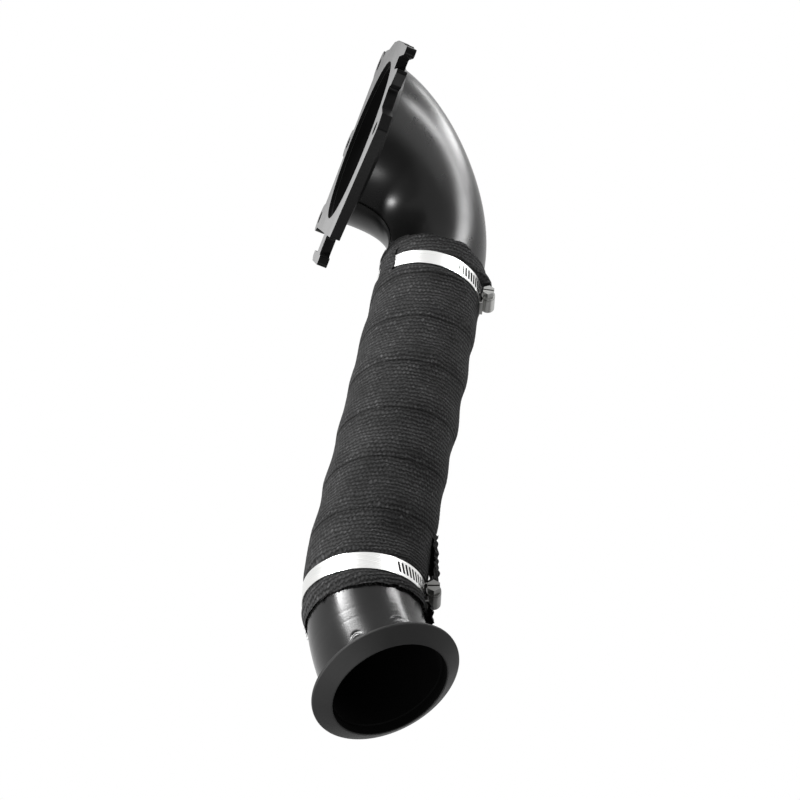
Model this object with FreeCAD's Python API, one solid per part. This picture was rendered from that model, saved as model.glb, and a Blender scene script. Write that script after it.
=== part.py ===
import FreeCAD, Part
import math
import os

# Turbo downpipe: a bolted plate, a bell elbow pressed in two halves, a wrapped down tube and a ball seat.
# Frame: origin at the centre of the port on the mating face, +X into the pipe, +Z up. Millimetres.

Vector = FreeCAD.Vector

# Pipe run
tube_diameter = 76.2
tube_wall = 1.65
run_offset = 83.0
joint_drop = 117.0
bend_start_drop = 371.5
bend_radius = 160.0
bend_angle = 34.0
bend_heading = -41.3
stub_length = 15.5

# Bell elbow
elbow_wall = 2.0
elbow_drop = 97.0
back_reach = 52.0
back_fall = 10.5
back_rise = 83.0
throat_reach = 24.0
throat_rise = 20.0
mouth_insert = 5.0
mouth_clearance = 0.2
elbow_stations = 10

# Mating plate, with its own axes: up the long way, and across towards the far side
plate_thickness = 8.0
plate_turn = 45.0
port_diameter = 133.0
bolt_hole_diameter = 10.5
lobe_radius = 12.0
corner_round = 2.5
near_land = 29.0
near_hole_rise = 10.0
near_hole_land = 18.0
near_foot = 66.0
boss_lean = 6.0
block_reach = 84.0
block_low = 44.0
waist_reach = 71.0
waist_low = 27.0
waist_flare = 6.0
far_land = 8.0
far_lean = 8.0
far_shoulder = 58.0
far_hole_rises = (67.0, -3.0, -70.0)
far_hole_lands = (5.0, 10.0, 3.0)
end_land = 12.0
top_far_reach = 62.0
top_near_reach = 60.0
ear_slot_width = 10.5
ear_slot_root = 58.0
ear_reach = 88.0
ear_tip_drop = 4.0
ear_crown = 5.0
ear_crown_near = 10.0
ear_crown_far = 18.0
ear_foot_far = 40.0
neck_height = 16.0
neck_near = 38.0
neck_far = 14.0
tee_depth = 8.0
tee_near = 47.0
tee_far = 11.0

# Welds
flange_weld_leg = 5.0
seam_weld_width = 3.2
seam_weld_height = 0.9
joint_weld_width = 7.0
joint_weld_height = 1.1
seat_weld_leg = 2.4
weld_root = 2.0
weld_gap = 0.1
bead_crown = 0.8
fillet_hollow = 0.45

# Ball seat
seat_clearance = 0.25
seat_rim_diameter = 99.0
seat_cone_depth = 6.6
seat_lip = 0.8
seat_rim_edge = 2.0
seat_collar_wall = 2.6
seat_length = 15.0
seat_flare = ((0.5, 0.7), (2.0, 0.35), (4.0, 0.12))
tube_recess = 7.0

# Heat wrap
wrap_above_joint = 13.0
wrap_end_angle = 18.5
wrap_gap = 0.1
wrap_base = 2.3
tape_thickness = 1.2
tape_pitch = 43.0
tape_lap = 12.0
tape_edge = 0.8
tape_heading = 118.0

# Worm clamps
clamp_below_joint = 11.0
lower_clamp_angle = 11.4
upper_clamp_heading = -20.0
lower_clamp_heading = -20.0
band_width = 12.7
band_thickness = 0.7
band_bite = 0.6
slot_count = 10
slot_pitch = 4.4
slot_start = 16.0
slot_size = 1.7
slot_length = 8.0
slot_lean = 12.0
tail_angle = 52.0
screw_diameter = 8.0
screw_gap = 0.25
screw_head_flats = 8.0
screw_head_length = 5.5
screw_collar_diameter = 10.0
screw_collar_length = 1.4
screw_neck_step = 1.0
screw_groove_width = 1.2
screw_groove_depth = 2.2
housing_length = 13.0
housing_wall = 0.9
housing_side_gap = 0.3

# Worked out from the sizes above
tube_radius = tube_diameter / 2
port_radius = port_diameter / 2
mouth_radius = port_radius - mouth_clearance
wrap_radius = tube_radius + wrap_gap + wrap_base
wrap_top_drop = joint_drop - wrap_above_joint
upper_clamp_drop = joint_drop + clamp_below_joint
band_radius = wrap_radius - band_bite
seat_bore_radius = tube_radius + seat_clearance
bend_side = Vector(math.cos(math.radians(bend_heading)), math.sin(math.radians(bend_heading)), 0)
down = Vector(0, 0, -1)
big = 1000.0


def run_point(drop):
    """A point on the straight down run, a given drop below the port's axis."""
    return Vector(run_offset, 0, -drop)


def bend_point(angle):
    """Centre and direction of the lower bend after turning through an angle."""
    turn = math.radians(angle)
    rise = down * (bend_radius * math.sin(turn))
    side = bend_side * (bend_radius * (1 - math.cos(turn)))
    heading = down * math.cos(turn) + bend_side * math.sin(turn)
    return run_point(bend_start_drop) + rise + side, heading


outlet_arc_end, outlet_axis = bend_point(bend_angle)
outlet_point = outlet_arc_end + outlet_axis * stub_length


def bent_rod(radius, top_drop, end_angle, tail):
    """A solid rod down the run, round the lower bend to an angle, then straight for a tail."""
    start = run_point(top_drop)
    corner = run_point(bend_start_drop)
    middle = bend_point(end_angle / 2)[0]
    arc_end, heading = bend_point(end_angle)
    edges = [Part.makeLine(start, corner), Part.Arc(corner, middle, arc_end).toShape()]
    if tail > 0:
        edges.append(Part.makeLine(arc_end, arc_end + heading * tail))
    section = Part.Wire(Part.makeCircle(radius, start, down))
    return Part.Wire(edges).makePipeShell([section], True, False)


def turned(profile, base, axis):
    """Turn a profile of (along, radius) points about an axis through a base point."""
    points = [Vector(radius, 0, along) for along, radius in profile]
    face = Part.Face(Part.makePolygon(points + points[:1]))
    solid = face.revolve(Vector(0, 0, 0), Vector(0, 0, 1), 360)
    solid.Placement = FreeCAD.Placement(base, FreeCAD.Rotation(Vector(0, 0, 1), axis))
    return solid


# Mating plate
plate_up = Vector(0, -math.sin(math.radians(plate_turn)), math.cos(math.radians(plate_turn)))
plate_across = Vector(0, math.cos(math.radians(plate_turn)), math.sin(math.radians(plate_turn)))


def plate_point(up, across):
    """A point on the mating face from its place along the plate's own axes."""
    return plate_up * up + plate_across * across


def patch(outline):
    """A piece of plate from (up, across) corners."""
    points = [plate_point(up, across) for up, across in outline]
    return Part.Face(Part.makePolygon(points + points[:1])).extrude(Vector(plate_thickness, 0, 0))


def hole(up, across, diameter):
    """A round plug through the plate: a drill, or a lobe."""
    return Part.makeCylinder(diameter / 2, plate_thickness, plate_point(up, across), Vector(1, 0, 0))


top_edge = port_radius + end_land
near_edge = port_radius + near_land
far_edge = port_radius + far_land
near_hole = (near_hole_rise, -port_radius - near_hole_land)
far_holes = [(rise, far_edge + land) for rise, land in zip(far_hole_rises, far_hole_lands)]


def turbine_flange():
    """The bolted plate: lobes at the bolts, a slotted ear at the top and a T-shaped ear at the bottom."""
    slot_top = top_edge - ear_slot_width
    slot_low = slot_top - ear_slot_width
    crown = top_edge + ear_crown
    head = -top_edge - neck_height
    outline = patch([
        (top_edge, top_far_reach), (top_edge, -top_near_reach), (slot_low, -block_reach),
        (block_low, -block_reach + ear_crown), (block_low, -waist_reach),
        (waist_low, -waist_reach - waist_flare), (near_hole_rise + lobe_radius, -near_edge),
        (near_hole_rise, -near_edge - boss_lean), (-top_edge, -near_foot), (-top_edge, far_edge),
        (-far_shoulder, far_edge), (far_shoulder, far_edge + far_lean),
    ])
    outline = outline.cut(patch([(slot_top, -ear_slot_root), (slot_top, -big), (slot_low, -big),
                                 (slot_low, -ear_slot_root)]))
    additions = [
        patch([(slot_top, ear_crown_far), (top_edge, ear_foot_far), (crown, ear_crown_far),
               (crown, -ear_crown_near), (top_edge - ear_tip_drop, -ear_reach), (slot_top, -ear_reach)]),
        patch([(-top_edge + ear_crown, -neck_near), (head, -neck_near), (head, -neck_far),
               (-top_edge + ear_crown, -neck_far)]),
        patch([(head, -tee_near), (head - tee_depth, -tee_near), (head - tee_depth, 0),
               (head - tee_depth / 2, tee_far), (head, tee_far)]),
    ]
    for up, across in far_holes:
        additions.append(hole(up, across, 2 * lobe_radius))
    rough = outline.fuse(additions).removeSplitter()
    front = min(rough.Faces, key=lambda face: face.CenterOfMass.x)
    outline = Part.Face(front.OuterWire)
    for step in (corner_round, -2 * corner_round, corner_round):
        outline = outline.makeOffset2D(step)
    plate = outline.extrude(Vector(plate_thickness, 0, 0))
    drills = [hole(0, 0, port_diameter)]
    for up, across in [near_hole] + far_holes:
        drills.append(hole(up, across, bolt_hole_diameter))
    return plate.cut(drills)


# Bell elbow
def curve_point(corners, t):
    """A point on the smooth curve that four corners steer."""
    weights = [(1 - t) ** 3, 3 * (1 - t) ** 2 * t, 3 * (1 - t) * t ** 2, t ** 3]
    point = Vector()
    for corner, weight in zip(corners, weights):
        point += corner * weight
    return point


outer_x = run_offset + tube_radius
inner_x = run_offset - tube_radius
back_curve = [Vector(plate_thickness, 0, mouth_radius),
              Vector(plate_thickness + back_reach, 0, mouth_radius - back_fall),
              Vector(outer_x, 0, back_rise - elbow_drop), Vector(outer_x, 0, -elbow_drop)]
throat_curve = [Vector(plate_thickness, 0, -mouth_radius),
                Vector(plate_thickness + throat_reach, 0, -mouth_radius),
                Vector(inner_x, 0, throat_rise - elbow_drop), Vector(inner_x, 0, -elbow_drop)]


def half_section(step, side, wall, growth):
    """Half of the elbow's round section at a step: a band of a wall's thickness, or filled for no wall."""
    back = curve_point(back_curve, step)
    throat = curve_point(throat_curve, step)
    centre = (back + throat) / 2
    out = (back - throat).normalize()
    radius = (back - centre).Length + growth
    sideways = Vector(0, side, 0)
    top, middle, low = [centre + way * radius for way in (out, sideways, out * -1)]
    edges = [Part.Arc(top, middle, low).toShape()]
    if wall > 0:
        inside = radius - wall
        inner_top, inner_middle, inner_low = [centre + way * inside for way in (out, sideways, out * -1)]
        edges.append(Part.makeLine(low, inner_low))
        edges.append(Part.Arc(inner_low, inner_middle, inner_top).toShape())
        edges.append(Part.makeLine(inner_top, top))
    else:
        edges.append(Part.makeLine(low, top))
    return Part.Wire(edges)


def elbow_half(side, wall=0.0, growth=0.0):
    """One pressed half: a mouth that enters the port, the bell, and a skirt down to the tube joint."""
    sections = [half_section(i / elbow_stations, side, wall, growth) for i in range(elbow_stations + 1)]
    bell = Part.makeLoft(sections, True, False)
    mouth = Part.Face(sections[0]).extrude(Vector(-mouth_insert, 0, 0))
    skirt = Part.Face(sections[-1]).extrude(down * (joint_drop - elbow_drop))
    return bell.fuse([mouth, skirt])


def elbow_filled(growth):
    """The whole elbow as a filled body, grown past its outer skin."""
    return elbow_half(-1, 0.0, growth).fuse(elbow_half(1, 0.0, growth))


elbow_room = elbow_filled(weld_gap)


def elbow_seam_weld():
    """The bead left standing along the seam inside the bend."""
    front = plate_thickness + flange_weld_leg
    low = -wrap_top_drop + weld_root
    strip = Part.makeBox(run_offset - front, seam_weld_width, -tube_radius / 2 - low,
                         Vector(front, -seam_weld_width / 2, low))
    return elbow_filled(seam_weld_height).common(strip).cut(elbow_room)


def flange_weld():
    """The fillet bead between the elbow's mouth and the back of the plate."""
    root = mouth_radius - 2 * flange_weld_leg
    hollow = flange_weld_leg * fillet_hollow
    profile = [(plate_thickness, root), (plate_thickness, mouth_radius + flange_weld_leg),
               (plate_thickness + hollow, mouth_radius + hollow),
               (plate_thickness + flange_weld_leg, mouth_radius), (plate_thickness + flange_weld_leg, root)]
    return turned(profile, Vector(), Vector(1, 0, 0)).cut(elbow_room)


def joint_weld():
    """The butt weld between elbow and tube, under the wrap."""
    half = joint_weld_width / 2
    foot = tube_radius + weld_gap
    shoulder = foot + joint_weld_height * bead_crown
    profile = [(-half, foot), (-half / 2, shoulder), (0, foot + joint_weld_height), (half / 2, shoulder),
               (half, foot)]
    return turned(profile, run_point(joint_drop), down)


# Down tube and ball seat
tube_tail = stub_length - tube_recess
tube_room = bent_rod(tube_radius + weld_gap, joint_drop, bend_angle, tube_tail)


def down_tube():
    """The plain tube: the straight run, the lower bend and a short straight end."""
    tube = bent_rod(tube_radius, joint_drop, bend_angle, tube_tail)
    return tube.cut(bent_rod(tube_radius - tube_wall, joint_drop, bend_angle, tube_tail))


def ball_seat():
    """The slip-on ring: a convex cone face outside, a flared back and a collar over the tube."""
    rim = seat_rim_diameter / 2
    collar = seat_bore_radius + seat_collar_wall
    flare = rim - collar
    back = -seat_cone_depth - seat_rim_edge
    profile = [(0, seat_bore_radius), (0, seat_bore_radius + seat_lip), (-seat_cone_depth, rim), (back, rim)]
    for step, share in seat_flare:
        profile.append((back - step, collar + flare * share))
    profile += [(-seat_length, collar), (-seat_length, seat_bore_radius)]
    return turned(profile, outlet_point, outlet_axis)


def ball_seat_weld():
    """The fillet bead behind the seat's collar."""
    collar = seat_bore_radius + seat_collar_wall
    root = tube_radius - weld_root
    toe = -seat_length - seat_weld_leg
    foot = tube_radius + seat_clearance
    hollow = fillet_hollow * (collar - foot)
    profile = [(-seat_length, root), (-seat_length, collar),
               (-seat_length - seat_weld_leg * fillet_hollow, foot + hollow), (toe, foot), (toe, root)]
    return turned(profile, outlet_point, outlet_axis).cut(tube_room)


# Worm clamps, modelled round their own Z axis with the housing at +X
screw_centre = band_radius + 2 * band_thickness + screw_gap + screw_diameter / 2


def ring(inner, wall, width):
    """A short tube centred on its own axis."""
    tube = Part.makeCylinder(inner + wall, width, Vector(0, 0, -width / 2))
    return tube.cut(Part.makeCylinder(inner, width, Vector(0, 0, -width / 2)))


def clamp_band():
    """One strip: a full turn, and a tail that passes the housing on top of it, both with worm slots."""
    strip = ring(band_radius, band_thickness, band_width)
    low = Vector(0, 0, -band_width / 2)
    tail = Part.makeCylinder(band_radius + 2 * band_thickness, band_width, low, Vector(0, 0, 1), tail_angle)
    tail = tail.cut(Part.makeCylinder(band_radius + band_thickness, band_width, low))
    strip = strip.fuse(tail).removeSplitter()
    slots = []
    for i in range(slot_count):
        slot = Part.makeBox(4 * band_thickness, slot_size, slot_length,
                            Vector(band_radius - band_thickness, -slot_size / 2, -slot_length / 2))
        slot.rotate(Vector(), Vector(1, 0, 0), slot_lean)
        slot.rotate(Vector(), Vector(0, 0, 1), -slot_start - i * slot_pitch)
        slots.append(slot)
    return strip.cut(slots)


def clamp_housing():
    """The pressed cover over the screw: an arch, two wings and legs beside the band."""
    side = band_width / 2 + housing_side_gap
    wing_low = band_radius + 2 * band_thickness + screw_gap
    half = housing_length / 2
    outer = Part.makeBox(wing_low + housing_wall - band_radius, housing_length, 2 * (side + housing_wall),
                         Vector(band_radius, -half, -side - housing_wall))
    inside = Part.makeBox(wing_low - band_radius, housing_length, 2 * side, Vector(band_radius, -half, -side))
    arch_radius = screw_diameter / 2 + screw_gap
    axis = Vector(0, 1, 0)
    start = Vector(screw_centre, -half, 0)
    arch = Part.makeCylinder(arch_radius + housing_wall, housing_length, start, axis)
    room = Part.makeCylinder(arch_radius, housing_length, start, axis)
    below = Part.makeBox(screw_diameter, housing_length, 4 * side,
                         Vector(wing_low - screw_diameter, -half, -2 * side))
    return outer.fuse(arch.cut(below)).cut([inside, room]).removeSplitter()


def clamp_screw():
    """The worm screw: a threaded barrel, a collar and a slotted hexagon head."""
    half = housing_length / 2
    axis = Vector(0, 1, 0)
    barrel = Part.makeCylinder(screw_diameter / 2, housing_length, Vector(screw_centre, -half, 0), axis)
    collar_start = -half - screw_collar_length - screw_gap
    neck = Part.makeCylinder(screw_diameter / 2 - screw_neck_step, screw_gap,
                             Vector(screw_centre, -half - screw_gap, 0), axis)
    collar = Part.makeCylinder(screw_collar_diameter / 2, screw_collar_length,
                               Vector(screw_centre, collar_start, 0), axis)
    corner = screw_head_flats / math.sqrt(3)
    points = []
    for i in range(7):
        turn = math.radians(60 * i + 30)
        points.append(Vector(screw_centre + corner * math.cos(turn), collar_start, corner * math.sin(turn)))
    head = Part.Face(Part.makePolygon(points)).extrude(Vector(0, -screw_head_length, 0))
    groove = Part.makeBox(2 * screw_head_flats, screw_groove_depth, screw_groove_width,
                          Vector(screw_centre - screw_head_flats, collar_start - screw_head_length,
                                 -screw_groove_width / 2))
    return barrel.fuse([neck, collar, head]).cut(groove).removeSplitter()


def clamp_pocket():
    """The room that a tightened clamp presses into the wrap."""
    groove = ring(band_radius, 4 * tape_thickness, band_width + 2 * housing_side_gap)
    depth = screw_diameter
    legs = Part.makeBox(depth, housing_length + 2 * housing_side_gap,
                        band_width + 4 * housing_side_gap + 2 * housing_wall,
                        Vector(band_radius - wrap_gap, -housing_length / 2 - housing_side_gap,
                               -band_width / 2 - 2 * housing_side_gap - housing_wall))
    return groove.fuse(legs)


def clamp_place(centre, axis, heading):
    """Where a clamp goes: its axis along the pipe and its housing turned to a heading."""
    stand = FreeCAD.Rotation(Vector(0, 0, -1), axis)
    turn = FreeCAD.Rotation(Vector(0, 0, 1), heading)
    return FreeCAD.Placement(centre, stand.multiply(turn))


def placed(shape, place):
    """A shape moved to its place."""
    shape.Placement = place.multiply(shape.Placement)
    return shape


lower_centre, lower_axis = bend_point(lower_clamp_angle)
clamp_places = {
    "upper": clamp_place(run_point(upper_clamp_drop), down, upper_clamp_heading),
    "lower": clamp_place(lower_centre, lower_axis, lower_clamp_heading),
}


# Heat wrap
def tape_edge_ridge():
    """The proud lower edge of every turn: a wedge carried down the straight run on a helix."""
    straight = bend_start_drop - wrap_top_drop
    root = wrap_radius - wrap_gap
    wedge = [Vector(root, 0, 0), Vector(wrap_radius + wrap_gap / 2, 0, 0),
             Vector(wrap_radius + tape_thickness, 0, tape_lap), Vector(root, 0, tape_lap + tape_edge)]
    helix = Part.makeHelix(tape_pitch, straight - tape_lap - tape_edge, wrap_radius)
    ridge = Part.Wire(helix.Edges).makePipeShell([Part.makePolygon(wedge + wedge[:1])], True, True)
    stand = FreeCAD.Rotation(Vector(0, 0, 1), tape_heading).multiply(FreeCAD.Rotation(Vector(1, 0, 0), 180))
    return placed(ridge, FreeCAD.Placement(run_point(wrap_top_drop), stand))


def heat_wrap():
    """One tape wound down the run: every turn's lower edge stands proud of the turn below it."""
    wound = bent_rod(wrap_radius, wrap_top_drop, wrap_end_angle, 0).fuse(tape_edge_ridge())
    wound = wound.cut(bent_rod(tube_radius + wrap_gap, wrap_top_drop, wrap_end_angle, 0))
    wound = wound.cut(joint_weld())
    for place in clamp_places.values():
        wound = wound.cut(placed(clamp_pocket(), place))
    return wound


solids = {
    "turbine_flange": turbine_flange(),
    "elbow_half_near": elbow_half(-1, elbow_wall),
    "elbow_half_far": elbow_half(1, elbow_wall),
    "elbow_seam_weld": elbow_seam_weld(),
    "flange_weld": flange_weld(),
    "tube_joint_weld": joint_weld(),
    "down_tube": down_tube(),
    "ball_seat": ball_seat(),
    "ball_seat_weld": ball_seat_weld(),
    "heat_wrap": heat_wrap(),
}
for name, place in clamp_places.items():
    solids[name + "_clamp_band"] = placed(clamp_band(), place)
    solids[name + "_clamp_housing"] = placed(clamp_housing(), place)
    solids[name + "_clamp_screw"] = placed(clamp_screw(), place)

os.makedirs("parts", exist_ok=True)
for name, shape in solids.items():
    shape.exportStep("parts/" + name + ".step")
    print(name, "solids", len(shape.Solids), "volume", round(shape.Volume), "valid", shape.isValid())
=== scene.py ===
# %% [markdown]
# # A wrapped turbo downpipe
# The solids come from the CAD frame. This lesson dresses them: smooth coated pipe, a wound woven tape,
# bright clamp bands and the worm screws. The part's lengths are written in millimetres and turned into
# metres where a mesh is made. Lamp and floor sizes are in metres.

# %% Load the frame
import math
import bpy
import numpy as np
from mathutils import Matrix, Vector


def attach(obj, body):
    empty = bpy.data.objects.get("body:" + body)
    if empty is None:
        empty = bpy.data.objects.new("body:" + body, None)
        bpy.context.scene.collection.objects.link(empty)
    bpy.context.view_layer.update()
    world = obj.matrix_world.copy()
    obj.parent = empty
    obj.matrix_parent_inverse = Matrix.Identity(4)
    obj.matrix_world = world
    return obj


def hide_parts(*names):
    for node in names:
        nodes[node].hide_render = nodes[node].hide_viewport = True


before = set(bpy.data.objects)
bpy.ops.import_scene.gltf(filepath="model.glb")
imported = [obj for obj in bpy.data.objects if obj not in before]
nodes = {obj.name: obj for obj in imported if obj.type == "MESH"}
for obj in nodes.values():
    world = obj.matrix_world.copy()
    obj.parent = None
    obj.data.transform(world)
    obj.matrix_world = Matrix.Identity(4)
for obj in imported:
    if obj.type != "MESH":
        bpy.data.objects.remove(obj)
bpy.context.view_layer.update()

MM = 0.001

# %% [markdown]
# ## The camera
# The photograph was taken from below, looking up the pipe. A camera matched to the tube's outline, the
# two clamps and the outlet ring gives the place and the three directions below.

# %% Camera
camera_place = Vector((-123.6, -923.2, -982.1)) * MM
look = Vector((0.1688, 0.7660, 0.6203)).normalized()
right = Vector((0.9223, -0.3448, 0.1747)).normalized()
up = right.cross(look).normalized()

camera_data = bpy.data.cameras.new("photo_camera")
camera_data.lens = 75.5
camera_data.sensor_width = 36.0
camera = bpy.data.objects.new("photo_camera", camera_data)
turn = Matrix((right, up, -look)).transposed()
camera.matrix_world = Matrix.Translation(camera_place) @ turn.to_4x4()
bpy.context.scene.collection.objects.link(camera)
bpy.context.scene.camera = camera
bpy.context.scene.view_settings.view_transform = "Standard"
print("camera", tuple(round(v, 3) for v in camera.location))

# %% [markdown]
# ## Lamps
# A black satin pipe is drawn by its highlights. One large soft lamp would leave it a flat grey, so each
# small lamp here stands where some part of the pipe mirrors it to the camera. Two narrow ones stand on the
# left, one below, and a large weak one on the right.

# %% Small lamps
def place_lamp(name, place, target, long_way, length, width, brightness, spread=180.0):
    """A rectangular lamp at a place, aimed at a target, its long side along a direction."""
    data = bpy.data.lights.new(name, "AREA")
    data.shape = "RECTANGLE"
    data.size = length
    data.size_y = width
    data.energy = brightness * math.pi * length * width
    data.spread = math.radians(spread)
    lamp = bpy.data.objects.new(name, data)
    away = (place - target).normalized()
    along = (long_way - away * long_way.dot(away)).normalized()
    aimed = Matrix((along, away.cross(along), away)).transposed()
    lamp.matrix_world = Matrix.Translation(place) @ aimed.to_4x4()
    lamp.visible_camera = False
    bpy.context.scene.collection.objects.link(lamp)


def camera_way(sideways, upwards, towards):
    """A direction given in the camera's own directions."""
    return right * sideways + up * upwards - look * towards


object_middle = Vector((83.0, 0.0, -200.0)) * MM
for name, way, length, width, brightness in (
        ("left_strip", (-0.88, 1.07, 0.05), 0.12, 0.5, 185.0),
        ("left_low", (-1.05, -0.32, 0.58), 0.14, 0.26, 165.0),
        ("front_low", (-0.08, -0.74, 0.98), 0.14, 0.30, 36.0),
        ("front_soft", (1.03, 0.75, 0.75), 0.9, 0.9, 2.0)):
    way = camera_way(*way)
    place_lamp(name, object_middle + way, object_middle, up.cross(way), length, width, brightness)
    print("lamp", name, "brightness", brightness)

# %% [markdown]
# ## The bent strip lamp
# The long streak on the outer bend follows the elbow. A straight lamp would draw it straight, so three
# narrow lamps stand end to end as one bent strip. Each corner of the strip lies in the direction in which
# a chosen spot of the bend mirrors it. The strip grows brighter towards the tube, which keeps the streak
# about even.

# %% Bent strip lamp
strip_reach = 0.7
strip_width = 0.09
strip_spread = 70.0
# A spot on the bend in millimetres, and the direction it mirrors, in the camera's own directions
strip_corners = [
    ((19.3, -61.2, 18.0), (0.44, 0.60, -0.67)),
    ((66.3, -46.0, -8.1), (0.58, 0.46, -0.67)),
    ((79.6, -42.1, -42.9), (0.80, 0.59, -0.13)),
    ((85.1, -38.2, -86.2), (0.61, 0.79, 0.10))]
strip_brightness = (1.4, 3.0, 6.5)
for i in range(len(strip_brightness)):
    pair = strip_corners[i:i + 2]
    start, end = [Vector(spot) * MM + camera_way(*way).normalized() * strip_reach for spot, way in pair]
    target = (Vector(pair[0][0]) + Vector(pair[1][0])) * 0.5 * MM
    place_lamp("right_strip_%d" % i, (start + end) * 0.5, target, end - start, (end - start).length,
               strip_width, strip_brightness[i], strip_spread)

# %% [markdown]
# ## The white world
# The background is plain white. Lighting the object with all of it would wash the black out, so the world
# is full white only for what the camera sees, straight, mirrored in gloss or through glass, and a quarter
# of that as light.

# %% White world
world = bpy.data.worlds.new("white_studio")
bpy.context.scene.world = world
world.use_nodes = True
sky = world.node_tree
sky.nodes.clear()
path = sky.nodes.new("ShaderNodeLightPath")
seen = sky.nodes.new("ShaderNodeMath")
seen.operation = "MAXIMUM"
shown = sky.nodes.new("ShaderNodeMath")
shown.operation = "MAXIMUM"
strength = sky.nodes.new("ShaderNodeMapRange")
strength.inputs["To Min"].default_value = 0.25
strength.inputs["To Max"].default_value = 1.0
background = sky.nodes.new("ShaderNodeBackground")
background.inputs["Color"].default_value = (1, 1, 1, 1)
output = sky.nodes.new("ShaderNodeOutputWorld")
sky.links.new(path.outputs["Is Camera Ray"], seen.inputs[0])
sky.links.new(path.outputs["Is Glossy Ray"], seen.inputs[1])
sky.links.new(seen.outputs[0], shown.inputs[0])
sky.links.new(path.outputs["Is Transmission Ray"], shown.inputs[1])
sky.links.new(shown.outputs[0], strength.inputs["Value"])
sky.links.new(strength.outputs[0], background.inputs["Strength"])
sky.links.new(background.outputs[0], output.inputs["Surface"])
print("world", world.name)

# %% [markdown]
# ## Small tools for finishes
# A finish is a chain of nodes. Most of these short functions add one node and take either a socket or a
# plain number, so that a chain reads like a sum.


# %% Node helpers
def new_group(name, inputs, outputs):
    """An empty shader node group with float inputs (name, value) and outputs (name, socket type)."""
    group = bpy.data.node_groups.new(name, "ShaderNodeTree")
    for label, value in inputs:
        socket = group.interface.new_socket(label, in_out="INPUT", socket_type="NodeSocketFloat")
        socket.default_value = value
    for label, kind in outputs:
        group.interface.new_socket(label, in_out="OUTPUT", socket_type=kind)
    return group, group.nodes.new("NodeGroupInput"), group.nodes.new("NodeGroupOutput")


def math_node(tree, operation, first, second=None):
    """A Math node whose inputs are sockets or plain numbers."""
    node = tree.nodes.new("ShaderNodeMath")
    node.operation = operation
    for socket, value in zip(node.inputs, (first, second)):
        if value is None:
            continue
        if isinstance(value, (int, float)):
            socket.default_value = value
        else:
            tree.links.new(value, socket)
    return node.outputs[0]


def noise_node(tree, vector, scale, detail=3.0, roughness=0.5):
    """A noise texture read at object coordinates."""
    node = tree.nodes.new("ShaderNodeTexNoise")
    node.inputs["Detail"].default_value = detail
    node.inputs["Roughness"].default_value = roughness
    if isinstance(scale, (int, float)):
        node.inputs["Scale"].default_value = scale
    else:
        tree.links.new(scale, node.inputs["Scale"])
    tree.links.new(vector, node.inputs["Vector"])
    return node.outputs["Fac"]


def ramp(tree, value, low, high, bottom, top):
    """Map a value between two numbers."""
    node = tree.nodes.new("ShaderNodeMapRange")
    for label, number in (("From Min", low), ("From Max", high), ("To Min", bottom), ("To Max", top)):
        node.inputs[label].default_value = number
    tree.links.new(value, node.inputs["Value"])
    return node.outputs[0]


def mix_colour(tree, factor, first, second):
    """Mix two colours, each a socket or four numbers."""
    node = tree.nodes.new("ShaderNodeMix")
    node.data_type = "RGBA"
    tree.links.new(factor, node.inputs["Factor"])
    for socket, value in ((node.inputs[6], first), (node.inputs[7], second)):
        if hasattr(value, "is_output"):
            tree.links.new(value, socket)
        else:
            socket.default_value = value
    return node.outputs[2]


# %% Material helpers
def new_material(name):
    """A material with its tree, Principled shader and object coordinates."""
    material = bpy.data.materials.new(name)
    material.use_nodes = True
    tree = material.node_tree
    shader = tree.nodes["Principled BSDF"]
    place = tree.nodes.new("ShaderNodeTexCoord")
    return material, tree, shader, place


def bump(tree, height, shader, strength, distance):
    """Feed a height into the shader's normal."""
    node = tree.nodes.new("ShaderNodeBump")
    node.inputs["Strength"].default_value = strength
    node.inputs["Distance"].default_value = distance
    tree.links.new(height, node.inputs["Height"])
    tree.links.new(node.outputs["Normal"], shader.inputs["Normal"])


def vector_math(tree, operation, first, second=None):
    """One vector node; the inputs are sockets or three numbers."""
    node = tree.nodes.new("ShaderNodeVectorMath")
    node.operation = operation
    for socket, value in ((node.inputs[0], first), (node.inputs[1], second)):
        if hasattr(value, "is_output"):
            tree.links.new(value, socket)
        elif value is not None:
            socket.default_value = tuple(value)
    return node.outputs["Value"] if operation == "DOT_PRODUCT" else node.outputs["Vector"]


def add_group(tree, group, **values):
    """Place a node group with its own values."""
    node = tree.nodes.new("ShaderNodeGroup")
    node.node_tree = group
    for label, value in values.items():
        node.inputs[label.replace("_", " ")].default_value = value
    return node


def grey(level):
    """A neutral colour."""
    return (level, level, level, 1)


# %% [markdown]
# ## The black coating
# The coating on the pipe, the plate and the welds has the same faint orange peel and uneven gloss. That
# effect is one node group, placed in each coat with its own scale and strength.

# %% Coating grain group
coat_grain, coat_in, coat_out = new_group(
    "coating_grain", [("Peel Scale", 900.0), ("Cloud Scale", 35.0)],
    [("Height", "NodeSocketFloat"), ("Cloud", "NodeSocketFloat")])
coat_place = coat_grain.nodes.new("ShaderNodeTexCoord")
peel = noise_node(coat_grain, coat_place.outputs["Object"], coat_in.outputs["Peel Scale"], 2.0)
cloud = noise_node(coat_grain, coat_place.outputs["Object"], coat_in.outputs["Cloud Scale"], 4.0, 0.6)
coat_grain.links.new(peel, coat_out.inputs["Height"])
coat_grain.links.new(cloud, coat_out.inputs["Cloud"])
print("group", coat_grain.name)


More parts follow.
